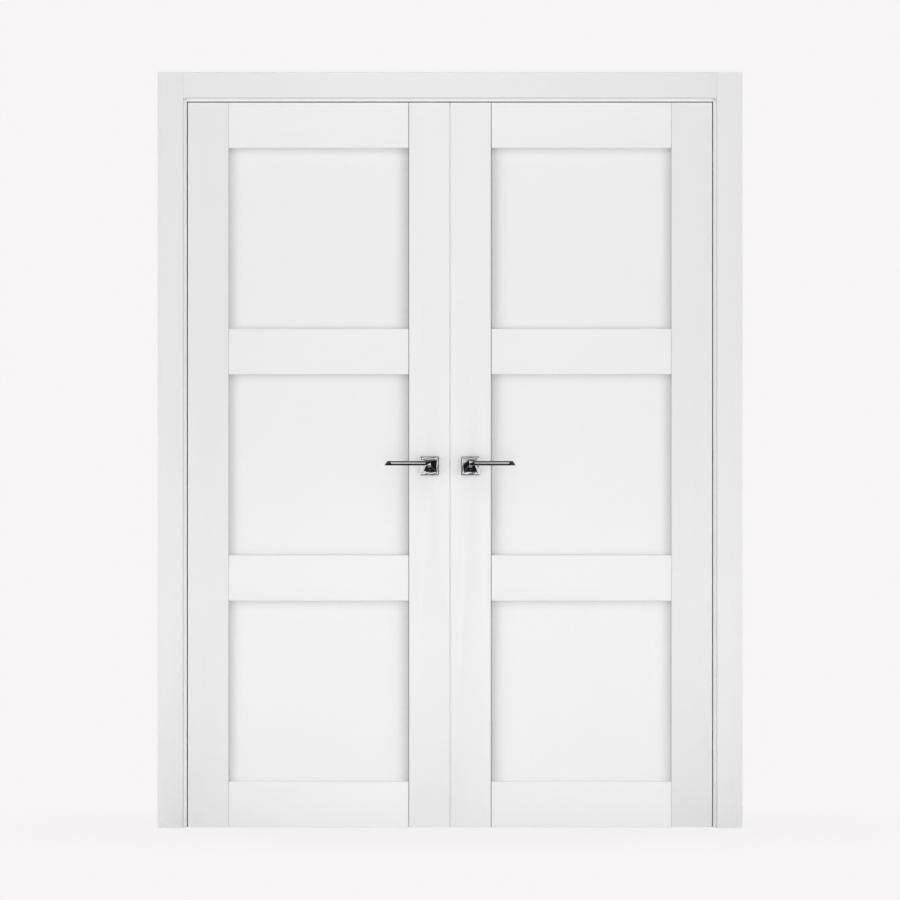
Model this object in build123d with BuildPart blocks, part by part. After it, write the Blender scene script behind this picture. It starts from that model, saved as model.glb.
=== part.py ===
from build123d import *
import math
import os

os.makedirs("parts", exist_ok=True)

# A pair of panelled inner doors in their frame. Millimetres, +Z up, the face seen in the photograph towards -Y.
# side is -1 for the leaf on the viewer's left, which is the passive one, and +1 for the active one.

# Leaves
leaf_width = 734
leaf_height = 2032
leaf_thick = 40
stile_width = 115
rail_height = 127
panel_thick = 12
panel_count = 3
groove_depth = 10
panel_play = 0.3
arris = 1.0

# Gaps round and between the leaves
edge_gap = 3
meeting_gap = 3
undercut = 2

# Frame
jamb_thick = 32
jamb_depth = 125
stop_width = 13
gasket_gap = 3.5
gasket_set = 1.5
head_housing = 8

# Casings
casing_width = 71
casing_head = 72
casing_thick = 8
reveal = 10
tongue_thick = 6
tongue_depth = 14
tongue_inset = 10.5
tongue_end = 20
casing_round = 2

# Shadow lines where the rails meet the stiles
lock_slot = 1.8
hinge_slot = 0.6
slot_depth = 5

# Lever sets
backset = 56
lever_height = 1015
rose_size = 52
rose_thick = 8
rose_bevel = 2
rose_bevel_depth = 1.5
rose_bore_r = 10.05
boss_r = 10
boss_play = 1
boss_start = 1
neck_base_x = 40
neck_base_z = 35
pyramid_height = 12
stem_width = 17
stem_shift = 5
neck_length = 30
running_gap = 0.3
blade_height = 13
blade_rise = 7.5
blade_thick = 9
blade_reach = 127
blade_cut = 9
facet_depth = 3.5
facet_low = 4.6
facet_high = 3.8
facet_inner = 15
facet_tip = 20
facet_lean = 2
spindle_size = 8
spindle_seat = 19
lever_turn = 45

# Lock and shoot bolt cases, centred in the leaf's thickness
case_thick = 15
case_wall = 2
case_back = 85.5
case_half_height = 63
forend_width = 20
forend_thick = 3
forend_length = 235
hub_r = 8
crank_r = 17
cam_half = 3
pin_r = 2.5
pin_play = 0.2
layer_gap = 0.5
seat_gap = 0.2

# Latch bolt
latch_throw = 12
latch_low = 2
latch_high = 24
latch_play = 0.2
latch_nose = 2
latch_end = 28
bar_start = 20
bar_play = 1.5
tail_gap = 4
tail_size = 4
tail_low = 9.4

# Shoot bolts
rod_size = 9
rod_play = 0.1
keep_pocket = 14.6
link_high = 32
link_low = 38
link_height = 8
plate_thick = 3.5
plate_outer = 2.6
plate_inner = 2.4
slot_wall = 3
slot_end = 0.3
rod_end = 1

# Concealed hinges: each has a cup in the jamb, a cup in the leaf and two crossing arms
hinge_inset = 230
pivot_in = 5.5
pivot_back = 12
cross_back = 26
arm_end_in = 12
arm_end_back = 27
axis_front = 0.5
arm_half = 3
arm_sides = 8
eye_r = 4.4
cross_r = 5.2
cross_pin_r = 2
cross_hole_r = 2.9
arm_pin_r = 2.5
arm_fit = 0.05
arm_low = 1
arm_high = 11
cup_depth = 19
cup_front = 2.7
cup_rear = 36
cup_half = 20
plate_half = 42
plate_deep = 2.5
mouth_front = 3.6
mouth_rear = 32.6
mouth_depth = 16
mouth_half = 12.5

# Meeting seals
seal_front = 2.5
seal_width = 4
seal_proud = 1.3
seal_deep = 3

# Wall fixing holes, two by two down each jamb
fixing_r = 4
fixing_levels = (300, 800, 1300, 1800)

lever_front = rose_thick + running_gap + neck_length + blade_thick
face_y = (lever_front - jamb_depth - casing_thick) / 2
back_y = face_y + leaf_thick
mid_y = face_y + leaf_thick / 2
leaf_in = meeting_gap / 2
leaf_out = leaf_in + leaf_width
jamb_in = leaf_out + edge_gap
jamb_out = jamb_in + jamb_thick
stop_in = jamb_in - stop_width
stop_y = back_y + gasket_gap
frame_back = face_y + jamb_depth
leaf_low = undercut
leaf_top = undercut + leaf_height
head_low = leaf_top + edge_gap
head_top = head_low + jamb_thick
casing_in = jamb_in + reveal
casing_out = casing_in + casing_width
casing_low = head_low + reveal
casing_top = casing_low + casing_head
rail_in = leaf_in + stile_width
rail_out = leaf_out - stile_width
panel_height = (leaf_height - (panel_count + 1) * rail_height) / panel_count
groove_front = face_y + (leaf_thick - panel_thick) / 2
groove_back = groove_front + panel_thick
axis_x = leaf_in + backset
hinge_x = leaf_out + edge_gap / 2
hinge_levels = (
    leaf_low + hinge_inset,
    leaf_low + leaf_height / 2,
    leaf_top - hinge_inset,
)
crank_rest = lever_turn / 2
rod_travel = 2 * crank_r * math.sin(math.radians(crank_rest))
case_front_y = mid_y - case_thick / 2
case_back_y = mid_y + case_thick / 2
seat_y = case_front_y + case_wall + seat_gap


def block(xa, xb, ya, yb, za, zb, mode=Mode.ADD):
    """A box between two corners, in the part being built."""
    with Locations(((xa + xb) / 2, (ya + yb) / 2, (za + zb) / 2)):
        Box(abs(xb - xa), abs(yb - ya), abs(zb - za), mode=mode)


def save(piece, name):
    piece.part.label = name
    export_step(piece.part, f"parts/{name}.step")


def side_name(side):
    return "left" if side < 0 else "right"


# Frame: two jambs with the rebate for the leaves, and the head housed between them
def jamb(side):
    with BuildPart() as piece:
        block(side * jamb_in, side * jamb_out, face_y, frame_back, 0, head_top)
        block(side * stop_in, side * jamb_in, stop_y, frame_back, 0, head_low)
        block(
            side * jamb_in,
            side * (jamb_in + head_housing),
            face_y,
            frame_back,
            head_low,
            head_top,
            Mode.SUBTRACT,
        )
        groove = casing_in + tongue_inset
        block(
            side * groove,
            side * (groove + tongue_thick),
            face_y,
            face_y + tongue_depth + 1,
            0,
            head_top,
            Mode.SUBTRACT,
        )
        back_groove = stop_in + reveal + tongue_inset
        block(
            side * back_groove,
            side * (back_groove + tongue_thick),
            frame_back - tongue_depth - 1,
            frame_back,
            0,
            head_low,
            Mode.SUBTRACT,
        )
        hinge_pockets(side, 1)
        fixing_y = (stop_y + frame_back) / 2
        for level in fixing_levels:
            with Locations(
                Location((side * (stop_in + jamb_out) / 2, fixing_y, level), (0, 90, 0))
            ):
                Cylinder(fixing_r, 2 * (jamb_out - stop_in), mode=Mode.SUBTRACT)
    save(piece, f"jamb_{side_name(side)}")


def jamb_head():
    end = jamb_in + head_housing
    with BuildPart() as piece:
        block(-end, end, face_y, frame_back, head_low, head_top)
        block(-stop_in, stop_in, stop_y, frame_back, head_low - stop_width, head_low)
        groove = casing_low + tongue_inset
        block(
            -end,
            end,
            face_y,
            face_y + tongue_depth + 1,
            groove,
            groove + tongue_thick,
            Mode.SUBTRACT,
        )
        back_groove = head_low - stop_width + reveal + tongue_inset
        block(
            -end,
            end,
            frame_back - tongue_depth - 1,
            frame_back,
            back_groove,
            back_groove + tongue_thick,
            Mode.SUBTRACT,
        )
        keep_space(keep_half, forend_width / 2, 0, keep_thick)
        keep_space(keep_pocket / 2, keep_pocket / 2, 0, keep_depth)
    save(piece, "jamb_head")


# The keep for the upper shoot bolt, let into the head
keep_thick = 2
keep_depth = 20
keep_half = 30
keep_play = 0.8
rod_x = leaf_in + forend_thick + rod_play + rod_size / 2


def keep_space(half_x, half_y, low, high):
    block(
        -rod_x - half_x,
        -rod_x + half_x,
        mid_y - half_y,
        mid_y + half_y,
        head_low + low,
        head_low + high,
        Mode.SUBTRACT,
    )


def head_keep():
    half = rod_size / 2 + keep_play
    with BuildPart() as piece:
        block(
            -rod_x - keep_half,
            -rod_x + keep_half,
            mid_y - forend_width / 2,
            mid_y + forend_width / 2,
            head_low,
            head_low + keep_thick,
        )
        keep_space(half, half, 0, keep_thick)
    save(piece, "head_keep")


# Casings: the legs run the full height and the head sits between them
def casing_leg(side, inner, wall_y, out, top, name):
    """A leg with its tongue; out is -1 for the front set and +1 for the back set."""
    with BuildPart() as piece:
        block(
            side * inner,
            side * (inner + casing_width),
            wall_y,
            wall_y + out * casing_thick,
            0,
            top,
        )
        front = piece.faces().sort_by(Axis.Y)[0 if out < 0 else -1]
        fillet(front.edges().filter_by(Axis.Z), casing_round)
        groove = inner + tongue_inset
        block(
            side * groove,
            side * (groove + tongue_thick),
            wall_y,
            wall_y - out * tongue_depth,
            0,
            top - casing_head - tongue_end,
        )
    save(piece, name)


def casing_top_board(inner, wall_y, out, low, name):
    with BuildPart() as piece:
        block(-inner, inner, wall_y, wall_y + out * casing_thick, low, low + casing_head)
        front = piece.faces().sort_by(Axis.Y)[0 if out < 0 else -1]
        fillet(front.edges().filter_by(Axis.X), casing_round)
        groove = low + tongue_inset
        reach = inner - 2 * tongue_end
        block(
            -reach,
            reach,
            wall_y,
            wall_y - out * tongue_depth,
            groove,
            groove + tongue_thick,
        )
    save(piece, name)


# Gaskets: soft strips in the corner of the rebate that the closed leaves all but touch
def gasket_strip(side):
    with BuildPart() as piece:
        block(
            side * (stop_in + gasket_set),
            side * jamb_in,
            back_y + running_gap,
            stop_y,
            0,
            head_low - stop_width,
        )
    save(piece, f"gasket_{side_name(side)}")


def gasket_head():
    with BuildPart() as piece:
        block(
            -jamb_in,
            jamb_in,
            back_y + running_gap,
            stop_y,
            head_low - stop_width + gasket_set,
            head_low,
        )
        for side in (-1, 1):
            block(
                side * (stop_in + gasket_set),
                side * jamb_in,
                back_y + running_gap,
                stop_y,
                head_low - stop_width,
                head_low - stop_width + gasket_set,
            )
    save(piece, "gasket_head")


# Concealed hinges. into is +1 for what lies in the jamb and -1 for what lies in the leaf.
def hinge_block(side, into, near, deep, front, rear, low, high, mode=Mode.ADD):
    block(
        side * (hinge_x + into * near),
        side * (hinge_x + into * deep),
        face_y + front,
        face_y + rear,
        low,
        high,
        mode,
    )


def hinge_pockets(side, into):
    """Mortises for the three cups, in the part being built."""
    near = edge_gap / 2
    for level in hinge_levels:
        cut = Mode.SUBTRACT
        low, high = level - cup_half, level + cup_half
        hinge_block(side, into, near, cup_depth, cup_front, cup_rear, low, high, cut)
        low, high = level - plate_half, level + plate_half
        deep = near + plate_deep
        hinge_block(side, into, near, deep, cup_front, cup_rear, low, high, cut)


def hinge_cups(sides, into, name):
    """Cups with their plates; each holds the pivot pin of its own arm."""
    near = edge_gap / 2
    with BuildPart() as piece:
        for side in sides:
            for level in hinge_levels:
                low, high = level - cup_half, level + cup_half
                hinge_block(side, into, near, cup_depth, cup_front, cup_rear, low, high)
                low, high = level - plate_half, level + plate_half
                deep = near + plate_deep
                hinge_block(side, into, near, deep, cup_front, cup_rear, low, high)
                low, high = level - mouth_half, level + mouth_half
                cut = Mode.SUBTRACT
                hinge_block(
                    side, into, near, mouth_depth, mouth_front, mouth_rear, low, high, cut
                )
                middle = level + into * (arm_low + mouth_half) / 2
                pin_x = side * (hinge_x + into * pivot_in)
                with Locations((pin_x, face_y + pivot_back, middle)):
                    Cylinder(arm_pin_r, mouth_half - arm_low)
    save(piece, name)


def hinge_arms(side, into, name):
    """The arms pivoted in the jamb's cups lie above the middle, those of the leaf's below."""
    pivot = (side * (hinge_x + into * pivot_in), face_y + pivot_back)
    cross = (side * hinge_x, face_y + cross_back)
    end = (side * (hinge_x - into * arm_end_in), face_y + arm_end_back)
    with BuildPart() as piece:
        for level in hinge_levels:
            low = level + (arm_low if into > 0 else -arm_high)
            tall = arm_high - arm_low
            with BuildSketch(Plane.XY.offset(low)):
                for near, far in ((pivot, cross), (cross, end)):
                    length = math.dist(near, far)
                    angle = math.degrees(math.atan2(far[1] - near[1], far[0] - near[0]))
                    middle = ((near[0] + far[0]) / 2, (near[1] + far[1]) / 2)
                    with Locations(Location((middle[0], middle[1], 0), (0, 0, angle))):
                        Rectangle(length, 2 * arm_half)
                with Locations(pivot):
                    RegularPolygon(eye_r, arm_sides)
                with Locations(cross):
                    RegularPolygon(cross_r, arm_sides)
                with Locations(end):
                    RegularPolygon(arm_half, arm_sides)
                with Locations(pivot):
                    Circle(arm_pin_r + arm_fit, mode=Mode.SUBTRACT)
                if into < 0:
                    with Locations(cross):
                        Circle(cross_hole_r, mode=Mode.SUBTRACT)
            extrude(amount=tall)
            if into > 0:
                with Locations((cross[0], cross[1], level)):
                    Cylinder(cross_pin_r, 2 * arm_high)
    save(piece, name)


# Leaves: full-height stiles, rails between them, and flat panels in a continuous groove
def joint_slot(side, start, width):
    """The shadow line down both faces where the rails meet a stile, in the part being built."""
    for ya, yb in ((face_y, face_y + slot_depth), (back_y - slot_depth, back_y)):
        block(
            side * start,
            side * (start + width),
            ya,
            yb,
            leaf_low,
            leaf_top,
            Mode.SUBTRACT,
        )


def hinge_stile(side):
    with BuildPart() as piece:
        block(side * rail_out, side * leaf_out, face_y, back_y, leaf_low, leaf_top)
        outer = piece.faces().sort_by(Axis.X)[0 if side < 0 else -1]
        fillet(outer.edges().filter_by(Axis.Z), arris)
        joint_slot(side, rail_out, hinge_slot)
        block(
            side * rail_out,
            side * (rail_out + groove_depth),
            groove_front,
            groove_back,
            leaf_low,
            leaf_top,
            Mode.SUBTRACT,
        )
        hinge_pockets(side, -1)
    save(piece, f"hinge_stile_{side_name(side)}")


def lock_stile(side):
    passive = side < 0
    with BuildPart() as piece:
        block(side * leaf_in, side * rail_in, face_y, back_y, leaf_low, leaf_top)
        meeting = piece.faces().sort_by(Axis.X)[-1 if side < 0 else 0]
        fillet(meeting.edges().filter_by(Axis.Z), arris)
        cut = Mode.SUBTRACT
        block(
            side * (rail_in - groove_depth),
            side * rail_in,
            groove_front,
            groove_back,
            leaf_low,
            leaf_top,
            cut,
        )
        joint_slot(side, rail_in - lock_slot, lock_slot)
        # Faceplate rebate, case mortise and, in the passive leaf, the channel for the rods
        low = leaf_low if passive else lever_height - forend_length / 2
        high = leaf_top if passive else lever_height + forend_length / 2
        block(
            side * leaf_in,
            side * (leaf_in + forend_thick),
            mid_y - forend_width / 2,
            mid_y + forend_width / 2,
            low,
            high,
            cut,
        )
        block(
            side * leaf_in,
            side * case_back,
            case_front_y,
            case_back_y,
            lever_height - case_half_height,
            lever_height + case_half_height,
            cut,
        )
        if passive:
            half = rod_size / 2 + rod_play
            block(
                side * leaf_in,
                side * (rod_x + half),
                mid_y - half,
                mid_y + half,
                leaf_low,
                leaf_top,
                cut,
            )
        with Locations(Location((side * axis_x, mid_y, lever_height), (90, 0, 0))):
            Cylinder(boss_r + boss_play, leaf_thick, mode=cut)
        seal_slot(side)
    save(piece, f"lock_stile_{side_name(side)}")


def seal_slot(side):
    block(
        side * leaf_in,
        side * (leaf_in + seal_deep),
        face_y + seal_front,
        face_y + seal_front + seal_width,
        leaf_low,
        leaf_top,
        Mode.SUBTRACT,
    )


def meeting_seal(side):
    with BuildPart() as piece:
        block(
            side * (leaf_in - seal_proud),
            side * (leaf_in + seal_deep),
            face_y + seal_front,
            face_y + seal_front + seal_width,
            leaf_low,
            leaf_top,
        )
    save(piece, f"meeting_seal_{side_name(side)}")


def rail(side, number, name):
    """Rails are counted from the bottom; the ones with a panel above or below are grooved for it."""
    low = leaf_low + number * (rail_height + panel_height)
    high = low + rail_height
    with BuildPart() as piece:
        block(side * rail_in, side * rail_out, face_y, back_y, low, high)
        block(
            side * (rail_in - groove_depth + panel_play),
            side * (rail_out + groove_depth - panel_play),
            groove_front,
            groove_back,
            low,
            high,
        )
        cut = Mode.SUBTRACT
        reach_in = side * (rail_in - groove_depth)
        reach_out = side * (rail_out + groove_depth)
        if number > 0:
            top = low + groove_depth
            block(reach_in, reach_out, groove_front, groove_back, low, top, cut)
        if number < panel_count:
            base = high - groove_depth
            block(reach_in, reach_out, groove_front, groove_back, base, high, cut)
    save(piece, f"{name}_{side_name(side)}")


def panel(side, number, name):
    low = leaf_low + rail_height + number * (rail_height + panel_height)
    grow = groove_depth - panel_play
    with BuildPart() as piece:
        block(
            side * (rail_in - grow),
            side * (rail_out + grow),
            groove_front,
            groove_back,
            low - grow,
            low + panel_height + grow,
        )
    save(piece, f"{name}_{side_name(side)}")


# Lever sets. out is -1 on the face in the photograph and +1 on the back.
def plate_y(out, depth):
    """A place in front of the leaf's near face, counted outwards."""
    return (face_y if out < 0 else back_y) + out * depth


def lever_plane(side, out, depth):
    """Square on to the spindle; its local X is +X, and its local Y is up on the front and down on the back."""
    return Plane(
        origin=(side * axis_x, plate_y(out, depth), lever_height),
        x_dir=(1, 0, 0),
        z_dir=(0, out, 0),
    )


def roses(side):
    with BuildPart() as piece:
        for out in (-1, 1):
            with BuildSketch(lever_plane(side, out, 0)):
                Rectangle(rose_size, rose_size)
                Circle(rose_bore_r, mode=Mode.SUBTRACT)
            extrude(amount=rose_thick - rose_bevel_depth)
            with BuildSketch(lever_plane(side, out, rose_thick - rose_bevel_depth)):
                Rectangle(rose_size, rose_size)
            with BuildSketch(lever_plane(side, out, rose_thick)):
                Rectangle(rose_size - 2 * rose_bevel, rose_size - 2 * rose_bevel)
            loft(ruled=True)
            with Locations(lever_plane(side, out, rose_thick / 2)):
                Cylinder(rose_bore_r, rose_thick, mode=Mode.SUBTRACT)
    save(piece, f"roses_{side_name(side)}")


def outline(side, out, depth, corners):
    """Corners seen square on, as points. Distances run outwards from the spindle and upwards from its height."""
    return [
        (side * (axis_x + away), plate_y(out, depth), lever_height + up) for away, up in corners
    ]


def facets(back, front, split_side=None):
    """A solid between two four-cornered outlines, with flat facets; one side may be two triangles."""
    sides = [Face(Wire.make_polygon(ends)) for ends in (back, front)]
    for number in range(4):
        after = (number + 1) % 4
        ring = [back[number], back[after], front[after], front[number]]
        if number == split_side:
            sides.append(Face(Wire.make_polygon([ring[0], ring[1], ring[2]])))
            sides.append(Face(Wire.make_polygon([ring[0], ring[2], ring[3]])))
        else:
            sides.append(Face(Wire.make_polygon(ring)))
    add(Solid(Shell(sides)))


def rectangle(low_away, high_away, low, high):
    return [(low_away, low), (high_away, low), (high_away, high), (low_away, high)]


def lever(side, out, name):
    """A squat pyramid and a square stem on the rose, and a bar with its front edges cut back into facets."""
    foot = rose_thick + running_gap
    stem_end = foot + neck_length
    blade_end = stem_end + blade_thick
    low = blade_rise - blade_height / 2
    high = low + blade_height
    inner = stem_shift - stem_width / 2
    outer = stem_shift + stem_width / 2
    base = rectangle(-neck_base_x / 2, neck_base_x / 2, -neck_base_z / 2, neck_base_z / 2)
    stem = rectangle(inner, outer, low, high)
    tip = blade_reach - blade_cut
    bar = [(inner, low), (blade_reach, low), (tip, high), (inner, high)]
    flat_end = blade_reach - facet_tip
    flat = [
        (inner + facet_inner, low + facet_low),
        (flat_end, low + facet_low),
        (flat_end + facet_lean, high - facet_high),
        (inner + facet_inner, high - facet_high),
    ]
    with BuildPart() as piece:
        pyramid_end = foot + pyramid_height
        facets(outline(side, out, foot, base), outline(side, out, pyramid_end, stem))
        with BuildSketch(lever_plane(side, out, pyramid_end)):
            with Locations((side * stem_shift, -out * blade_rise)):
                Rectangle(stem_width, blade_height)
        extrude(amount=neck_length - pyramid_height)
        with BuildSketch(lever_plane(side, out, boss_start)):
            Circle(boss_r)
        extrude(amount=foot - boss_start)
        shoulder = blade_end - facet_depth
        facets(outline(side, out, stem_end, bar), outline(side, out, shoulder, bar))
        facets(outline(side, out, shoulder, bar), outline(side, out, blade_end, flat), 1)
        block(
            side * axis_x - spindle_size / 2,
            side * axis_x + spindle_size / 2,
            plate_y(out, -boss_r),
            plate_y(out, spindle_seat),
            lever_height - spindle_size / 2,
            lever_height + spindle_size / 2,
            Mode.SUBTRACT,
        )
    save(piece, f"{name}_{side_name(side)}")


def spindle(side):
    half = spindle_size / 2
    with BuildPart() as piece:
        block(
            side * axis_x - half,
            side * axis_x + half,
            plate_y(-1, spindle_seat),
            plate_y(1, spindle_seat),
            lever_height - half,
            lever_height + half,
        )
    save(piece, f"spindle_{side_name(side)}")


def across(radius, ya, yb, x, z, mode=Mode.ADD):
    """A round bar along Y, in the part being built."""
    with Locations(Location((x, (ya + yb) / 2, z), (90, 0, 0))):
        Cylinder(radius, abs(yb - ya), mode=mode)


def lock_case(side, name):
    """A shell that is open at the leaf's edge, with round seats for the follower."""
    start = leaf_in + forend_thick if side > 0 else rod_x + rod_size / 2 + 1
    low, high = lever_height - case_half_height, lever_height + case_half_height
    x = side * axis_x
    with BuildPart() as piece:
        block(side * start, side * case_back, case_front_y, case_back_y, low, high)
        block(
            side * start,
            side * (case_back - case_wall),
            case_front_y + case_wall,
            case_back_y - case_wall,
            low + case_wall,
            high - case_wall,
            Mode.SUBTRACT,
        )
        across(hub_r + arm_fit, case_front_y, case_back_y, x, lever_height, Mode.SUBTRACT)
    save(piece, name)


def follower_right():
    x = axis_x
    with BuildPart() as piece:
        across(hub_r, case_front_y, case_back_y, x, lever_height)
        block(
            x - cam_half,
            x + cam_half,
            seat_y,
            2 * mid_y - seat_y,
            lever_height,
            lever_height + crank_r,
        )
        spindle_hole(x)
    save(piece, "follower_right")


def follower_left():
    """Two cranks, each with a pin in the slot of a rod's plate."""
    x = -axis_x
    rest = math.radians(crank_rest)
    pin_x = crank_r * math.cos(rest)
    pin_z = crank_r * math.sin(rest)
    layer = seat_y + plate_thick + layer_gap
    far = 2 * mid_y - seat_y
    with BuildPart() as piece:
        across(hub_r, case_front_y, case_back_y, x, lever_height)
        with Locations(
            Location((x, (layer + far) / 2, lever_height), (0, -crank_rest, 0))
        ):
            Box(2 * crank_r, far - layer, 2 * cam_half)
        for way in (-1, 1):
            across(pin_r, seat_y, far, x + way * pin_x, lever_height + way * pin_z)
        spindle_hole(x)
    save(piece, "follower_left")


def spindle_hole(x):
    half = spindle_size / 2
    block(
        x - half,
        x + half,
        case_front_y - 1,
        case_back_y + 1,
        lever_height - half,
        lever_height + half,
        Mode.SUBTRACT,
    )


def latch_bolt():
    """The sloped head, and over the follower's cam a tail that the cam draws back."""
    low, high = lever_height + latch_low, lever_height + latch_high
    ya = case_front_y + case_wall + latch_play
    yb = case_back_y - case_wall - latch_play
    tip = leaf_in - latch_throw
    bar = lever_height + crank_r + bar_play
    tail = axis_x + tail_gap
    with BuildPart() as piece:
        with BuildSketch(Plane.XY.offset(low)):
            with BuildLine():
                Polyline(
                    (tip, yb),
                    (tip + latch_nose, yb),
                    (latch_end, yb),
                    (latch_end, ya),
                    (leaf_in, ya),
                    (tip, yb - latch_nose),
                    close=True,
                )
            make_face()
        extrude(amount=high - low)
        block(bar_start, tail + tail_size, ya, yb, bar, high)
        block(tail, tail + tail_size, ya, yb, lever_height + tail_low, high)
    save(piece, "latch_bolt")


def faceplate(side):
    """The strip in the leaf's edge; the passive leaf's runs the full height over the rods."""
    low, high = lever_height - forend_length / 2, lever_height + forend_length / 2
    if side < 0:
        low, high = leaf_low, leaf_top
    play = latch_play + (1 if side < 0 else 0)
    with BuildPart() as piece:
        block(
            side * leaf_in,
            side * (leaf_in + forend_thick),
            mid_y - forend_width / 2,
            mid_y + forend_width / 2,
            low,
            high,
        )
        block(
            side * leaf_in,
            side * (leaf_in + forend_thick),
            case_front_y + case_wall + latch_play - play,
            case_back_y - case_wall - latch_play + play,
            lever_height + latch_low - play,
            lever_height + latch_high + play,
            Mode.SUBTRACT,
        )
    save(piece, f"faceplate_{side_name(side)}")


def shoot_bolt(up, name):
    """A rod in the edge channel, and a plate inside the case with the slot for a crank's pin."""
    half = rod_size / 2
    rest = math.radians(crank_rest)
    slot_z = lever_height - up * crank_r * math.sin(rest)
    pin_x = -axis_x - up * crank_r * math.cos(rest)
    turn_x = -axis_x - up * crank_r
    link = lever_height + link_high if up > 0 else lever_height - link_low
    end = leaf_top - rod_end if up > 0 else leaf_low + rod_end
    plate_back = seat_y + plate_thick
    side_x = sorted((pin_x, turn_x))
    with BuildPart() as piece:
        block(-rod_x - half, -rod_x + half, mid_y - half, mid_y + half, link, end)
        far = side_x[0] - pin_r - plate_outer
        block(
            far,
            -rod_x + half,
            seat_y,
            plate_back,
            link,
            link + up * link_height,
        )
        block(
            far,
            side_x[1] + pin_r + plate_inner,
            seat_y,
            plate_back,
            link + up * link_height,
            slot_z - up * (pin_r + slot_wall),
        )
        block(
            side_x[0] - pin_r - slot_end,
            side_x[1] + pin_r + slot_end,
            seat_y,
            plate_back,
            slot_z - pin_r - pin_play,
            slot_z + pin_r + pin_play,
            Mode.SUBTRACT,
        )
    save(piece, name)


for side in (-1, 1):
    where = side_name(side)
    jamb(side)
    gasket_strip(side)
    casing_leg(side, casing_in, face_y, -1, casing_top, f"casing_front_{where}")
    back_in = stop_in + reveal
    back_top = head_low - stop_width + reveal + casing_head
    casing_leg(side, back_in, frame_back, 1, back_top, f"casing_back_{where}")
    hinge_stile(side)
    lock_stile(side)
    for number, name in enumerate(("rail_bottom", "rail_lower", "rail_upper", "rail_top")):
        rail(side, number, name)
    for number, name in enumerate(("panel_bottom", "panel_middle", "panel_top")):
        panel(side, number, name)
    meeting_seal(side)
    faceplate(side)
    roses(side)
    lever(side, -1, "lever_front")
    lever(side, 1, "lever_back")
    spindle(side)
    hinge_cups((side,), -1, f"hinge_cups_leaf_{where}")
    hinge_arms(side, 1, f"hinge_arms_jamb_{where}")
    hinge_arms(side, -1, f"hinge_arms_leaf_{where}")

jamb_head()
gasket_head()
casing_top_board(casing_in, face_y, -1, casing_low, "casing_front_head")
casing_top_board(
    stop_in + reveal, frame_back, 1, head_low - stop_width + reveal, "casing_back_head"
)
head_keep()
hinge_cups((-1, 1), 1, "hinge_cups_jamb")
lock_case(-1, "bolt_case_left")
lock_case(1, "lock_case_right")
follower_left()
follower_right()
latch_bolt()
shoot_bolt(1, "shoot_bolt_top")
shoot_bolt(-1, "shoot_bolt_bottom")
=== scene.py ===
import math

import bmesh
import bpy
import numpy as np
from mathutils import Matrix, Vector


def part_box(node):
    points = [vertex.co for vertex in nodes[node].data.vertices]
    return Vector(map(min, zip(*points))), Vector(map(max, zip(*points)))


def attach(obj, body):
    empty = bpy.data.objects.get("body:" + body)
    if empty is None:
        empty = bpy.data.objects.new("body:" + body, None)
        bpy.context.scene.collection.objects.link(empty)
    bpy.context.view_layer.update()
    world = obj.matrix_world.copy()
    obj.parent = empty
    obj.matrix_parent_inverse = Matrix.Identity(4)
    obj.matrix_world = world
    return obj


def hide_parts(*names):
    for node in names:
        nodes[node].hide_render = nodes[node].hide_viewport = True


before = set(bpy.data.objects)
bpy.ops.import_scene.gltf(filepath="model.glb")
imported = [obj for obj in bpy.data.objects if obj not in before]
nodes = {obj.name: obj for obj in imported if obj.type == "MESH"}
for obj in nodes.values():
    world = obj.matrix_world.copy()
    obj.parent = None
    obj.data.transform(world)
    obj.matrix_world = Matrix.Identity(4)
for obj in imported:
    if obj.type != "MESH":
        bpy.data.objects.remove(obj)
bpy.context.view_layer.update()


# Camera: it stands square in front of the doors, far back, so that they show almost without perspective.
# It is level with the middle of the picture, 1.06 m over the floor, and looks along +Y. A leaf 2.032 m high
# takes up 724.9 of the picture's 900 pixels.
picture_pixels = 900
leaf_height, leaf_pixels = 2.0320, 724.9
picture_width = picture_pixels * leaf_height / leaf_pixels
camera_distance, camera_level = 14.0, 1.0595
sensor_width = 36.0
casing_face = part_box("casing_front_left")[0].y
camera_data = bpy.data.cameras.new("camera")
camera_data.type = "PERSP"
camera_data.sensor_width = sensor_width
camera_data.lens = sensor_width * camera_distance / picture_width
camera_data.clip_end = 60.0
camera = bpy.data.objects.new("camera", camera_data)
camera.location = (0.0, casing_face - camera_distance, camera_level)
camera.rotation_euler = (math.pi / 2, 0.0, 0.0)
bpy.context.scene.collection.objects.link(camera)
bpy.context.scene.camera = camera


# Frame: two jambs and a head of laminated wood, wrapped in a smooth white matt film with a very faint
# grain along each board. They are housed together and screwed to the wall from behind the leaves.
def calc(tree, operation, *terms):
    """A Math node, whose terms are sockets or plain numbers. Gives its output."""
    node = tree.nodes.new("ShaderNodeMath")
    node.operation = operation
    for socket, term in zip(node.inputs, terms):
        if isinstance(term, (int, float)):
            socket.default_value = term
        else:
            tree.links.new(term, socket)
    return node.outputs[0]


def open_group(name, colours, numbers, results):
    """A shader node group with named sockets. Gives it, the sockets it is given and those of its result."""
    group = bpy.data.node_groups.new(name, "ShaderNodeTree")
    kinds = {"Color": "NodeSocketColor", "Roughness": "NodeSocketFloat", "Height": "NodeSocketFloat"}
    for colour in colours:
        group.interface.new_socket(colour, in_out="INPUT", socket_type="NodeSocketColor")
    for number in numbers:
        group.interface.new_socket(number, in_out="INPUT", socket_type="NodeSocketFloat")
    for result in results:
        group.interface.new_socket(result, in_out="OUTPUT", socket_type=kinds[result])
    entry = group.nodes.new("NodeGroupInput")
    leave = group.nodes.new("NodeGroupOutput")
    return group, entry.outputs, leave.inputs


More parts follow.
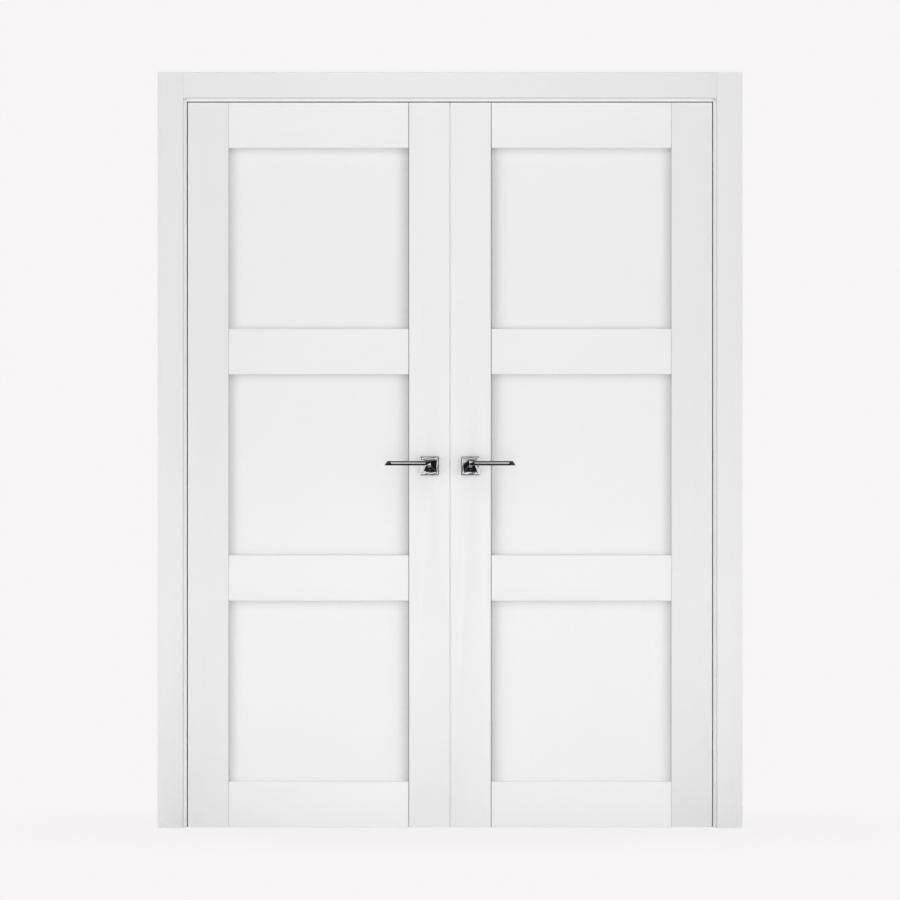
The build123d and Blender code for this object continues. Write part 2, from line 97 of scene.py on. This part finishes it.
def noise(tree, vector, scale, detail=2.0):
    """A Noise texture read along a vector socket, with scale cells to a metre. Gives its 0 to 1 output."""
    node = tree.nodes.new("ShaderNodeTexNoise")
    node.inputs["Scale"].default_value = scale
    node.inputs["Detail"].default_value = detail
    tree.links.new(vector, node.inputs["Vector"])
    return node.outputs["Fac"]


def scaled(tree, colour, factor):
    """A colour times a number."""
    node = tree.nodes.new("ShaderNodeVectorMath")
    node.operation = "SCALE"
    tree.links.new(colour, node.inputs["Vector"])
    tree.links.new(factor, node.inputs["Scale"])
    return node.outputs["Vector"]


def film_grain_group():
    """Long thin noise along one axis, for a printed film over wood: a tone, a roughness and a height.

    The tone is one plus Streaks times the sum of a thin and a wide noise less one. The roughness is
    Roughness plus a tenth of the thin noise.
    """
    cells_across, cells_along, cloud_cells = 260.0, 3.5, 2.2
    vector_a, vector_b, vector_out = 4, 5, 1
    group, given, result = open_group(
        "film_grain", ["Base"], ["Streaks", "Roughness", "Along X"], ["Color", "Roughness", "Height"]
    )
    place = group.nodes.new("ShaderNodeTexCoord").outputs["Object"]
    choose = group.nodes.new("ShaderNodeMix")
    choose.data_type = "VECTOR"
    group.links.new(given["Along X"], choose.inputs["Factor"])
    upright_grain = (cells_across, cells_across, cells_along)
    level_grain = (cells_along, cells_across, cells_across)
    for socket, stretch in ((vector_a, upright_grain), (vector_b, level_grain)):
        mapping = group.nodes.new("ShaderNodeMapping")
        mapping.inputs["Scale"].default_value = stretch
        group.links.new(place, mapping.inputs["Vector"])
        group.links.new(mapping.outputs["Vector"], choose.inputs[socket])
    streak = noise(group, choose.outputs[vector_out], scale=1.0, detail=3.0)
    both = calc(group, "ADD", streak, noise(group, place, cloud_cells))
    shade = calc(group, "MULTIPLY_ADD", calc(group, "SUBTRACT", both, 1.0), given["Streaks"], 1.0)
    group.links.new(scaled(group, given["Base"], shade), result["Color"])
    group.links.new(calc(group, "MULTIPLY_ADD", streak, 0.10, given["Roughness"]), result["Roughness"])
    group.links.new(streak, result["Height"])
    return group


film_grain = film_grain_group()


def linear(red, green, blue):
    """The colour of 8-bit screen values as a shader wants it, by the sRGB curve."""
    screen = np.array([red, green, blue]) / 255.0
    value = np.where(screen <= 0.04045, screen / 12.92, ((screen + 0.055) / 1.055) ** 2.4)
    return (*value.tolist(), 1.0)


def film(name, colour, along_x=0.0, streaks=0.014, roughness=0.40):
    """White matt film: the grain group feeds colour, roughness and a very shallow bump."""
    material = bpy.data.materials.new(name)
    material.use_nodes = True
    tree = material.node_tree
    shader = tree.nodes["Principled BSDF"]
    shader.inputs["Specular IOR Level"].default_value = 0.35
    grain = tree.nodes.new("ShaderNodeGroup")
    grain.node_tree = film_grain
    grain.inputs["Base"].default_value = colour
    grain.inputs["Streaks"].default_value = streaks
    grain.inputs["Roughness"].default_value = roughness
    grain.inputs["Along X"].default_value = along_x
    bump = tree.nodes.new("ShaderNodeBump")
    bump.inputs["Strength"].default_value = 0.06
    bump.inputs["Distance"].default_value = 0.0002
    tree.links.new(grain.outputs["Color"], shader.inputs["Base Color"])
    tree.links.new(grain.outputs["Roughness"], shader.inputs["Roughness"])
    tree.links.new(grain.outputs["Height"], bump.inputs["Height"])
    tree.links.new(bump.outputs["Normal"], shader.inputs["Normal"])
    return material


def through(material, group, **values):
    """Passes the material's base colour through one more group, which takes and gives a Color."""
    tree = material.node_tree
    target = tree.nodes["Principled BSDF"].inputs["Base Color"]
    source = target.links[0].from_socket
    node = tree.nodes.new("ShaderNodeGroup")
    node.node_tree = group
    for name, value in values.items():
        node.inputs[name.replace("_", " ").title()].default_value = value
    tree.links.new(source, node.inputs["Color"])
    tree.links.new(node.outputs["Color"], target)


def corner_shade_group():
    """Painted shade in corners: one minus strength times e to the power of minus distance over reach, for
    four edges.

    Near and Far are the edges' distances from the meeting line. Base and Top are the edges' heights in a
    window that starts at Low and comes again every Step. Beyond an edge there is no painted shade.
    """
    edges = ("Near", "Far", "Top", "Base")
    edge_play = 0.0001
    speckle_cells, speckle_depth, speckle_least = 90.0, 0.3, 0.85
    numbers = [f"{edge}{word}" for edge in edges for word in ("", " Dust", " Reach")]
    group, given, result = open_group("corner_dust", ["Color"], [*numbers, "Low", "Step"], ["Color"])
    place = group.nodes.new("ShaderNodeTexCoord").outputs["Object"]
    parts = group.nodes.new("ShaderNodeSeparateXYZ")
    group.links.new(place, parts.inputs["Vector"])
    aside = calc(group, "ABSOLUTE", parts.outputs["X"])
    up = calc(group, "MODULO", calc(group, "SUBTRACT", parts.outputs["Z"], given["Low"]), given["Step"])
    gaps = (
        calc(group, "SUBTRACT", aside, given["Near"]),
        calc(group, "SUBTRACT", given["Far"], aside),
        calc(group, "SUBTRACT", given["Top"], up),
        calc(group, "SUBTRACT", up, given["Base"]),
    )
    shade = 1.0
    # A noise speckle varies the painted shade a little from place to place.
    speckle = calc(group, "MULTIPLY_ADD", noise(group, place, speckle_cells), speckle_depth, speckle_least)
    for edge, gap in zip(edges, gaps):
        fall = calc(group, "DIVIDE", gap, given[f"{edge} Reach"])
        fall = calc(group, "EXPONENT", calc(group, "MULTIPLY", fall, -1.0))
        inside = calc(group, "GREATER_THAN", gap, -edge_play)
        edge_shade = calc(group, "MULTIPLY", calc(group, "MULTIPLY", fall, inside), given[f"{edge} Dust"])
        shade = calc(group, "SUBTRACT", shade, calc(group, "MULTIPLY", edge_shade, speckle))
    group.links.new(scaled(group, given["Color"], shade), result["Color"])
    return group


def eased_copy(name, body, width, material, limit=40.0, segments=2):
    """A node's own shape with eased corners: doubles merged, flat faces joined, then a small round bevel.

    Width is the bevel's in metres. Corners that turn by less than limit, in degrees, stay as they are.
    """
    same_place, same_plane = 1e-6, math.radians(1.0)
    shape = bmesh.new()
    shape.from_mesh(nodes[name].data)
    bmesh.ops.remove_doubles(shape, verts=shape.verts, dist=same_place)
    bmesh.ops.dissolve_limit(shape, angle_limit=same_plane, verts=shape.verts, edges=shape.edges)
    mesh = bpy.data.meshes.new(f"{name}_eased")
    shape.to_mesh(mesh)
    shape.free()
    mesh.shade_smooth()
    mesh.materials.append(material)
    piece = bpy.data.objects.new(f"{name}_eased", mesh)
    bpy.context.scene.collection.objects.link(piece)
    bevel = piece.modifiers.new("eased_corners", "BEVEL")
    bevel.width = width
    bevel.segments = segments
    bevel.limit_method = "ANGLE"
    bevel.angle_limit = math.radians(limit)
    bevel.harden_normals = True
    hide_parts(name)
    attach(piece, body)


corner_dust = corner_shade_group()
reveal_side = abs(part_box("casing_front_left")[1].x)
reveal_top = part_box("casing_front_head")[0].z
# The jambs' and the head's film is lighter than the casings' and the leaves': painted light. Painted shade
# darkens their faces next to the casings' inner edges.
jamb_film = film("jamb_film", linear(245, 244, 244))
head_film = film("head_film", linear(245, 244, 244), along_x=1.0)
no_shade = dict(near_reach=0.01, far_reach=0.01, top_reach=0.01, base_reach=0.01, low=0.0, step=10.0)
through(jamb_film, corner_dust, **{**no_shade, "far": reveal_side, "far_dust": 0.42, "far_reach": 0.002})
through(head_film, corner_dust, **{**no_shade, "top": reveal_top, "top_dust": 0.22, "top_reach": 0.002})
board_arris = 0.0007
for side in ("left", "right"):
    eased_copy(f"jamb_{side}", "frame", board_arris, jamb_film)
eased_copy("jamb_head", "frame", board_arris, head_film)


# Casings: flat boards with eased edges, tongued into the jambs. The legs run the full height and the
# head board is cut in square between them, the same on both sides of the wall.
casing_arris = 0.0002
# The casings' film is a little darker than the leaves': painted shade.
casing_film = film("casing_film", linear(230.5, 230, 230.5))
casing_head_film = film("casing_head_film", linear(230.5, 230.5, 230.5), along_x=1.0)
for face in ("front", "back"):
    for side in ("left", "right"):
        eased_copy(f"casing_{face}_{side}", "frame", casing_arris, casing_film)
    eased_copy(f"casing_{face}_head", "frame", casing_arris, casing_head_film)


# Gaskets: soft extruded strips in a grey-olive tone, set in the corner of the rebate. They show as the
# dark line round the leaves.
def rubber(name, colour, roughness):
    """A dull soft strip, with a fine mottle that takes its tone a tenth down."""
    material = bpy.data.materials.new(name)
    material.use_nodes = True
    tree = material.node_tree
    shader = tree.nodes["Principled BSDF"]
    shader.inputs["Roughness"].default_value = roughness
    shader.inputs["Specular IOR Level"].default_value = 0.3
    place = tree.nodes.new("ShaderNodeTexCoord")
    mottle = tree.nodes.new("ShaderNodeTexNoise")
    mottle.inputs["Scale"].default_value = 400.0
    ramp = tree.nodes.new("ShaderNodeValToRGB")
    dark, plain = ramp.color_ramp.elements
    dark.position = 0.3
    dark.color = tuple(c * 0.9 for c in colour[:3]) + (1.0,)
    plain.position = 0.7
    plain.color = colour
    tree.links.new(place.outputs["Object"], mottle.inputs["Vector"])
    tree.links.new(mottle.outputs["Fac"], ramp.inputs["Fac"])
    tree.links.new(ramp.outputs["Color"], shader.inputs["Base Color"])
    return material


gasket_round = 0.0013
gasket_rubber = rubber("gasket_rubber", linear(100, 100, 89), roughness=0.7)
for place in ("left", "right", "head"):
    eased_copy(f"gasket_{place}", "frame", gasket_round, gasket_rubber, segments=4)


# Leaves: each has two full-height stiles with the rails between them, all of a light core wrapped in film.
# The grain runs along each board: upright on the stiles, level on the rails.
def slot_shade_group():
    """Painted shade inside the joint slots: a dark colour on their walls, from a little below the face.

    It shows where the distance from the meeting line is under Near or over Far, and the depth from the
    nearer face, which is Half minus the distance from Middle, lies between the shallow and the deep limit.
    A fine noise varies its tone.
    """
    slot_noise_cells, slot_noise_depth, slot_noise_least = 600.0, 0.4, 0.8
    colour_a, colour_b, colour_out = 6, 7, 2
    numbers = ["Near", "Far", "Middle", "Half", "Skin", "Deep"]
    group, given, result = open_group("raw_core", ["Color", "Core"], numbers, ["Color"])
    place = group.nodes.new("ShaderNodeTexCoord").outputs["Object"]
    parts = group.nodes.new("ShaderNodeSeparateXYZ")
    group.links.new(place, parts.inputs["Vector"])
    aside = calc(group, "ABSOLUTE", parts.outputs["X"])
    under = calc(group, "LESS_THAN", aside, given["Near"])
    in_slot_shade = calc(group, "MAXIMUM", under, calc(group, "GREATER_THAN", aside, given["Far"]))
    from_middle = calc(group, "ABSOLUTE", calc(group, "SUBTRACT", parts.outputs["Y"], given["Middle"]))
    depth = calc(group, "SUBTRACT", given["Half"], from_middle)
    in_slot_shade = calc(group, "MULTIPLY", in_slot_shade, calc(group, "GREATER_THAN", depth, given["Skin"]))
    in_slot_shade = calc(group, "MULTIPLY", in_slot_shade, calc(group, "LESS_THAN", depth, given["Deep"]))
    mix = group.nodes.new("ShaderNodeMix")
    mix.data_type = "RGBA"
    slot_noise = calc(group, "MULTIPLY_ADD", noise(group, place, slot_noise_cells, 4.0), slot_noise_depth, slot_noise_least)
    group.links.new(in_slot_shade, mix.inputs["Factor"])
    group.links.new(given["Color"], mix.inputs[colour_a])
    group.links.new(scaled(group, given["Core"], slot_noise), mix.inputs[colour_b])
    group.links.new(mix.outputs[colour_out], result["Color"])
    return group


raw_core = slot_shade_group()
# Painted shade in the joint slots: an olive grey on the slot walls and ledges, between 2 and 5.2 mm below
# the face, stands in for the shadow there.
slot_shade_colour = linear(128, 126, 108)
cut_play = 0.0002
lock_slot, hinge_slot = 0.0018, 0.0006
past_every_edge = 9.0
stile_low, stile_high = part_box("lock_stile_right")
rail_in, rail_out = stile_high.x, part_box("hinge_stile_right")[0].x
slot_shade_setting = dict(
    core=slot_shade_colour,
    middle=(stile_low.y + stile_high.y) / 2,
    half=(stile_high.y - stile_low.y) / 2,
    skin=0.0020,
    deep=0.0052,
)
hinge_cut = rail_out + hinge_slot + cut_play
lock_cut = rail_in - lock_slot - cut_play
# The hinge stiles' film is a little darker and the lock stiles' and rails' a little lighter: painted light
# and shade, lighter towards the meeting line.
hinge_stile_film = film("hinge_stile_film", linear(229.5, 229, 229.5))
through(hinge_stile_film, raw_core, near=hinge_cut, far=past_every_edge, **slot_shade_setting)
lock_stile_film = film("lock_stile_film", linear(235, 234, 234.5))
through(lock_stile_film, raw_core, near=0.0, far=lock_cut, **slot_shade_setting)
rail_film = film("rail_film", linear(236, 235.5, 235.5), along_x=1.0)
through(rail_film, raw_core, near=rail_in + cut_play, far=rail_out - cut_play, **slot_shade_setting)
for side in ("left", "right"):
    leaf = f"leaf_{side}"
    eased_copy(f"hinge_stile_{side}", leaf, board_arris, hinge_stile_film)
    eased_copy(f"lock_stile_{side}", leaf, board_arris, lock_stile_film)
    for rail in ("rail_bottom", "rail_lower", "rail_upper", "rail_top"):
        eased_copy(f"{rail}_{side}", leaf, board_arris, rail_film)


# Panels: plain flat boards in the same film, held in the grooves of the stiles and rails, 14 mm back from
# the face. Painted shade darkens their corners, most along the stiles.
def dress(material, *names):
    """Gives CAD nodes their finish."""
    for name in names:
        mesh = nodes[name].data
        mesh.materials.clear()
        mesh.materials.append(material)


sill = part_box("rail_bottom_left")[1].z
window_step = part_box("rail_upper_left")[0].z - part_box("rail_lower_left")[0].z
window_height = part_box("rail_lower_left")[0].z - sill
# The panels' film is a tone apart from the rails' and stiles': painted light.
panel_film = film("panel_film", linear(234.5, 234.5, 234.5), streaks=0.012, roughness=0.42)
panel_corner_shade = dict(
    near=rail_in,
    near_dust=0.34,
    near_reach=0.014,
    far=rail_out,
    far_dust=0.32,
    far_reach=0.005,
    top=window_height,
    top_dust=0.04,
    top_reach=0.006,
    base=0.0,
    base_dust=0.07,
    base_reach=0.006,
    low=sill,
    step=window_step,
)
through(panel_film, corner_dust, **panel_corner_shade)
for side in ("left", "right"):
    dress(panel_film, f"panel_bottom_{side}", f"panel_middle_{side}", f"panel_top_{side}")


# Meeting seals: a soft white strip let into each lock stile just behind the face, so that the line
# between the leaves shows light grey.
seal_round = 0.0006
seal_white = rubber("seal_white", linear(236, 236, 235), roughness=0.6)
for side in ("left", "right"):
    eased_copy(f"meeting_seal_{side}", f"leaf_{side}", seal_round, seal_white, segments=3)


# Lever sets: cast, ground flat in facets and chromed. Square roses are screwed to the leaf, and each lever
# is held on the spindle by a grub screw from below.
def polish_group():
    """Faint polishing haze: a roughness that changes a little over the surface, and a shallow waviness."""
    group, given, result = open_group("polish_haze", [], ["Roughness", "Haze"], ["Roughness", "Height"])
    place = group.nodes.new("ShaderNodeTexCoord").outputs["Object"]
    cloud = noise(group, place, scale=60.0, detail=4.0)
    hazy = calc(group, "MULTIPLY_ADD", cloud, given["Haze"], given["Roughness"])
    group.links.new(hazy, result["Roughness"])
    group.links.new(cloud, result["Height"])
    return group


polish_haze = polish_group()


def metal(name, colour, roughness, haze):
    """Bare or plated metal: the haze group feeds roughness and a very shallow bump."""
    material = bpy.data.materials.new(name)
    material.use_nodes = True
    tree = material.node_tree
    shader = tree.nodes["Principled BSDF"]
    shader.inputs["Base Color"].default_value = colour
    shader.inputs["Metallic"].default_value = 1.0
    finish = tree.nodes.new("ShaderNodeGroup")
    finish.node_tree = polish_haze
    finish.inputs["Roughness"].default_value = roughness
    finish.inputs["Haze"].default_value = haze
    bump = tree.nodes.new("ShaderNodeBump")
    bump.inputs["Strength"].default_value = 0.05
    bump.inputs["Distance"].default_value = 0.00002
    tree.links.new(finish.outputs["Roughness"], shader.inputs["Roughness"])
    tree.links.new(finish.outputs["Height"], bump.inputs["Height"])
    tree.links.new(bump.outputs["Normal"], shader.inputs["Normal"])
    return material


chrome = metal("chrome", (0.86, 0.86, 0.87, 1.0), roughness=0.04, haze=0.05)
facet_arris, facet_turn = 0.0004, 3.0
for side in ("left", "right"):
    eased_copy(f"roses_{side}", f"leaf_{side}", facet_arris, chrome, limit=facet_turn)
    for face in ("front", "back"):
        lever = f"lever_{face}_{side}"
        eased_copy(lever, f"lever_{side}", facet_arris, chrome, limit=facet_turn)


# Grub screws: a socket screw in the underside of each lever's neck holds it on the spindle. Turned steel,
# with a six-sided socket.
def turned_screw(profile, place, axis):
    """A closed turned shape: profile rows of radius and height along axis, from place, swept round evenly.

    The first two rings, the socket's floor and rim, are drawn in to a hexagon: radius over the cosine of
    the angle to the nearest flat's middle.
    """
    sides, socket_rings, sixth = 24, 2, math.pi / 3
    rows = np.array(profile)
    turn = np.linspace(0.0, 2.0 * math.pi, sides, endpoint=False)
    radius = np.repeat(rows[:, :1], sides, axis=1)
    nearest = (turn + sixth / 2) % sixth - sixth / 2
    radius[:socket_rings] = radius[:socket_rings] / np.cos(nearest)
    up = np.array(axis) / np.linalg.norm(axis)
    across = np.cross(up, (0.0, 0.0, 1.0) if abs(up[2]) < 0.9 else (1.0, 0.0, 0.0))
    across = across / np.linalg.norm(across)
    third = np.cross(up, across)
    ring = radius[..., None] * (np.cos(turn)[:, None] * across + np.sin(turn)[:, None] * third)
    points = (np.array(place) + ring + rows[:, 1, None, None] * up).reshape(-1, 3)
    count = len(rows)
    low, step = np.meshgrid(np.arange(count - 1) * sides, np.arange(sides), indexing="ij")
    after = (step + 1) % sides
    quads = np.stack([low + step, low + sides + step, low + sides + after, low + after], axis=-1)
    ends = [list(range(sides)), list(range((count - 1) * sides, count * sides))[::-1]]
    return points, [*quads.reshape(-1, 4).tolist(), *ends]


def fit_screws(name, screws, material, body):
    """Screws of one size as one piece, faces outwards, sharp where they turn by over 30 degrees."""
    points = np.concatenate([screw_points for screw_points, _ in screws])
    faces = []
    for number, (screw_points, screw_faces) in enumerate(screws):
        start = number * len(screw_points)
        faces += [[start + corner for corner in face] for face in screw_faces]
    mesh = bpy.data.meshes.new(name)
    mesh.from_pydata(points.tolist(), [], faces)
    shape = bmesh.new()
    shape.from_mesh(mesh)
    bmesh.ops.recalc_face_normals(shape, faces=shape.faces)
    shape.to_mesh(mesh)
    shape.free()
    mesh.materials.append(material)
    mesh.shade_smooth()
    mesh.set_sharp_from_angle(angle=math.radians(30.0))
    piece = bpy.data.objects.new(name, mesh)
    bpy.context.scene.collection.objects.link(piece)
    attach(piece, body)


grub_steel = metal("grub_steel", (0.80, 0.80, 0.80, 1.0), roughness=0.12, haze=0.10)
grub_profile = [
    (0.0009, -0.0010),
    (0.0011, 0.0001),
    (0.0013, 0.00025),
    (0.0019, 0.00025),
    (0.0022, 0.0000),
    (0.0022, -0.0020),
]
lever_lift = 0.0003
grub_out, grub_drop = 0.0044, 0.0107
neck_out, neck_up = 12.0, 18.5
for side in ("left", "right"):
    low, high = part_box(f"roses_{side}")
    spindle_x, spindle_z = (low.x + high.x) / 2, (low.z + high.z) / 2
    for face, out, rose_y in (("front", -1, low.y), ("back", 1, high.y)):
        foot = rose_y + out * lever_lift
        place = (spindle_x, foot + out * grub_out, spindle_z - grub_drop)
        screw = turned_screw(grub_profile, place, axis=(0.0, out * neck_up, -neck_out))
        fit_screws(f"grub_screw_{face}_{side}", [screw], grub_steel, f"lever_{side}")


# Locks, bolts and hinges: satin steel faceplates, bolts and spindles, and matt cast hinge cups and arms.
# Countersunk socket screws hold the hinge plates and the faceplates.
satin_steel = metal("satin_steel", (0.62, 0.62, 0.63, 1.0), roughness=0.26, haze=0.12)
hinge_cast = metal("hinge_cast", (0.66, 0.66, 0.67, 1.0), roughness=0.38, haze=0.10)
cast_arris = 0.0003
for name in nodes:
    if name.startswith("hinge_cups") or name.startswith("hinge_arms"):
        body = name.replace("hinge_", "") if "arms" in name else name.replace("hinge_cups_", "")
        eased_copy(name, "frame" if body == "jamb" else body, cast_arris, hinge_cast)
for side in ("left", "right"):
    dress(satin_steel, f"faceplate_{side}", f"follower_{side}", f"spindle_{side}")
dress(satin_steel, "bolt_case_left", "lock_case_right", "latch_bolt", "head_keep")
dress(satin_steel, "shoot_bolt_top", "shoot_bolt_bottom")

countersunk_profile = [
    (0.0010, -0.0016),
    (0.0012, 0.0001),
    (0.0014, 0.0002),
    (0.0030, 0.0002),
    (0.0036, 0.0000),
    (0.0037, -0.0008),
]


def screw_row(name, body, plane_x, way, y, levels):
    """Screws in a plate on the plane x, one at each level; way is the side their heads face."""
    places = [(plane_x, y, level) for level in levels]
    screws = [turned_screw(countersunk_profile, place, axis=(way, 0.0, 0.0)) for place in places]
    fit_screws(name, screws, satin_steel, body)


hinge_plate, plate_screw_in = 0.084, 0.007
plate_screw_step = hinge_plate - 2 * plate_screw_in
forend_screw_in = 0.012
jamb_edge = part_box("gasket_right")[1].x
for side, way, forend_screws in (("left", -1, 5), ("right", 1, 2)):
    low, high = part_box(f"hinge_cups_leaf_{side}")
    first, last = low.z + plate_screw_in, high.z - plate_screw_in
    middle = (first + last) / 2
    levels = [first, first + plate_screw_step]
    levels += [middle - plate_screw_step / 2, middle + plate_screw_step / 2]
    levels += [last - plate_screw_step, last]
    y = (low.y + high.y) / 2
    leaf_edge = max(abs(low.x), abs(high.x))
    screw_row(f"hinge_screws_leaf_{side}", f"leaf_{side}", way * leaf_edge, way, y, levels)
    screw_row(f"hinge_screws_jamb_{side}", "frame", way * jamb_edge, -way, y, levels)
    low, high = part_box(f"faceplate_{side}")
    meeting_edge = min(abs(low.x), abs(high.x))
    span = high.z - low.z - 2 * forend_screw_in
    levels = [low.z + forend_screw_in + span * n / (forend_screws - 1) for n in range(forend_screws)]
    y = (low.y + high.y) / 2
    screw_row(f"faceplate_screws_{side}", f"leaf_{side}", way * meeting_edge, -way, y, levels)


# Studio light: a tall lamp in front brightens the middle, and boxes at both sides give the recessed panels
# their soft edge shadows. One from above and a low strip even out the top and the foot, and two light the
# back. The surround is pale and even.
def soft_box(name, place, aim, width, height, power, spread=180.0):
    """An area lamp at place, turned to aim. Mirror-like surfaces don't see it, they have their own cards."""
    lamp = bpy.data.lights.new(name, "AREA")
    lamp.shape = "RECTANGLE"
    lamp.size = width
    lamp.size_y = height
    lamp.energy = power
    lamp.spread = math.radians(spread)
    holder = bpy.data.objects.new(name, lamp)
    holder.location = place
    way = Vector(aim) - Vector(place)
    holder.rotation_euler = way.to_track_quat("-Z", "Y").to_euler()
    holder.visible_glossy = False
    holder.visible_camera = False
    bpy.context.scene.collection.objects.link(holder)


handle_level = (0, 0, 1.0)
for side, way in (("left", -1), ("right", 1)):
    at_side, behind = (way * 4.2, -2.4, 1.0), (way * 3.0, 3.6, 2.0)
    soft_box(f"soft_box_{side}", at_side, handle_level, width=2.2, height=4.6, power=103.0)
    soft_box(f"soft_box_back_{side}", behind, handle_level, width=2.0, height=2.6, power=120.0)
soft_box("soft_box_front", (0, -2.2, 1.0), handle_level, width=0.6, height=3.4, power=14.5)
soft_box("soft_box_high", (0, -2.2, 4.3), (0, 0, 1.5), width=3.0, height=1.6, power=42.0)
soft_box("soft_box_low", (0, -2.2, 0.14), (0, 0, 0.15), width=2.4, height=0.24, power=1.35, spread=60.0)

backdrop = linear(247, 245, 246)
world = bpy.data.worlds.new("surround")
bpy.context.scene.world = world
world.use_nodes = True
sky = world.node_tree
sky.nodes.clear()
shown = sky.nodes.new("ShaderNodeBackground")
shown.inputs["Color"].default_value = backdrop
shown.inputs["Strength"].default_value = 1.0
fill = sky.nodes.new("ShaderNodeBackground")
fill.inputs["Color"].default_value = (1.0, 1.0, 1.0, 1.0)
fill.inputs["Strength"].default_value = 0.22
path = sky.nodes.new("ShaderNodeLightPath").outputs
seen = calc(sky, "MAXIMUM", path["Is Camera Ray"], path["Is Glossy Ray"])
seen = calc(sky, "MAXIMUM", seen, path["Is Transmission Ray"])
blend = sky.nodes.new("ShaderNodeMixShader")
sky_out = sky.nodes.new("ShaderNodeOutputWorld")
sky.links.new(seen, blend.inputs["Fac"])
sky.links.new(fill.outputs["Background"], blend.inputs[1])
sky.links.new(shown.outputs["Background"], blend.inputs[2])
sky.links.new(blend.outputs["Shader"], sky_out.inputs["Surface"])


# Floor: a plain pale sheet under the doors. The camera sees mostly its own colour, the same as the
# surround's, with a light trace of the doors' shadow that fades out before the sheet's edge.
def floor_paint():
    """Lit paint under a plain glow that only the camera sees: 0.87 of it in the middle, all at the rim."""
    fade_x, fade_y, shadow_at, glow_share = 1.5, 1.0, 0.6, 0.87
    material = bpy.data.materials.new("floor_paint")
    material.use_nodes = True
    tree = material.node_tree
    link = tree.links.new
    lit = tree.nodes["Principled BSDF"]
    lit.inputs["Base Color"].default_value = linear(228, 227, 227)
    lit.inputs["Roughness"].default_value = 1.0
    lit.inputs["Specular IOR Level"].default_value = 0.0
    plain = tree.nodes.new("ShaderNodeEmission")
    plain.inputs["Color"].default_value = backdrop
    place = tree.nodes.new("ShaderNodeTexCoord")
    shrink = tree.nodes.new("ShaderNodeMapping")
    shrink.inputs["Scale"].default_value = (1.0 / fade_x, 1.0 / fade_y, 1.0)
    fade = tree.nodes.new("ShaderNodeTexGradient")
    fade.gradient_type = "SPHERICAL"
    ramp = tree.nodes.new("ShaderNodeValToRGB")
    rim, middle = ramp.color_ramp.elements
    rim.position = 0.0
    rim.color = (1.0, 1.0, 1.0, 1.0)
    middle.position = shadow_at
    middle.color = (glow_share, glow_share, glow_share, 1.0)
    path = tree.nodes.new("ShaderNodeLightPath")
    share = calc(tree, "MULTIPLY", ramp.outputs["Color"], path.outputs["Is Camera Ray"])
    blend = tree.nodes.new("ShaderNodeMixShader")
    link(place.outputs["Object"], shrink.inputs["Vector"])
    link(shrink.outputs["Vector"], fade.inputs["Vector"])
    link(fade.outputs["Fac"], ramp.inputs["Fac"])
    link(share, blend.inputs["Fac"])
    link(lit.outputs["BSDF"], blend.inputs[1])
    link(plain.outputs["Emission"], blend.inputs[2])
    link(blend.outputs["Shader"], tree.nodes["Material Output"].inputs["Surface"])
    return material


def studio_board(name, corners, material):
    """A flat four-cornered part of the studio."""
    mesh = bpy.data.meshes.new(name)
    mesh.from_pydata(corners, [], [(0, 1, 2, 3)])
    mesh.materials.append(material)
    board = bpy.data.objects.new(name, mesh)
    bpy.context.scene.collection.objects.link(board)
    return board


floor_x, floor_y = 1.9, 1.4
floor_corners = [
    (-floor_x, -floor_y, 0),
    (floor_x, -floor_y, 0),
    (floor_x, floor_y, 0),
    (-floor_x, floor_y, 0),
]
studio_board("floor", floor_corners, floor_paint())


# Cards for the chrome: only mirror-like surfaces see them. Tall dark ones stand at both sides of the view
# and a small one between the levers, and taupe ones stand in front for the blades. A dark one lies on the
# floor and a grey-brown one hangs over the doors.
def card_paint(name, colour):
    """A plain glow, so that a card shows its own colour in the chrome."""
    material = bpy.data.materials.new(name)
    material.use_nodes = True
    tree = material.node_tree
    glow = tree.nodes.new("ShaderNodeEmission")
    glow.inputs["Color"].default_value = colour
    tree.links.new(glow.outputs["Emission"], tree.nodes["Material Output"].inputs["Surface"])
    return material


def chrome_card(name, corners, material):
    """A studio board that shows in reflections and does nothing else."""
    card = studio_board(name, corners, material)
    card.visible_camera = False
    card.visible_diffuse = False
    card.visible_transmission = False
    card.visible_shadow = False
    card.visible_volume_scatter = False


def upright_card(name, start, end, low, high, material):
    """A card that stands from low to high over a line between two points of the floor."""
    chrome_card(name, [(*start, low), (*end, low), (*end, high), (*start, high)], material)


def sloping_card(name, half_width, front, back, material):
    """A card from its front edge to its back edge, each given as y and z."""
    ends = [(-half_width, *front), (half_width, *front), (half_width, *back), (-half_width, *back)]
    chrome_card(name, ends, material)


dark_card = card_paint("dark_card", (0.009, 0.011, 0.015, 1.0))
brown_card = card_paint("brown_card", (0.080, 0.076, 0.060, 1.0))
taupe_card = card_paint("taupe_card", linear(122, 116, 112))
card_away, flag_y = 3.0, -2.99
flag_in, flag_out = 0.104, 0.34
card_near_angle, card_far_angle = math.radians(12.0), math.radians(36.0)
for side, way in (("left", -1), ("right", 1)):
    start, end = [
        (way * card_away * math.sin(angle), -card_away * math.cos(angle))
        for angle in (card_near_angle, card_far_angle)
    ]
    upright_card(f"card_{side}", start, end, low=0.02, high=3.0, material=dark_card)
    start, end = (way * flag_in, flag_y), (way * flag_out, flag_y)
    upright_card(f"flag_{side}", start, end, low=0.40, high=1.65, material=taupe_card)
upright_card("card_between", (0.0, -0.053), (0.0, -0.125), low=0.984, high=1.046, material=dark_card)
sloping_card("card_low", half_width=0.7, front=(-3.0, 0.02), back=(-0.06, 0.02), material=dark_card)
sloping_card("card_high", half_width=2.6, front=(-3.0, 1.8), back=(-0.02, 3.0), material=brown_card)

bpy.context.scene.view_settings.view_transform = "Standard"
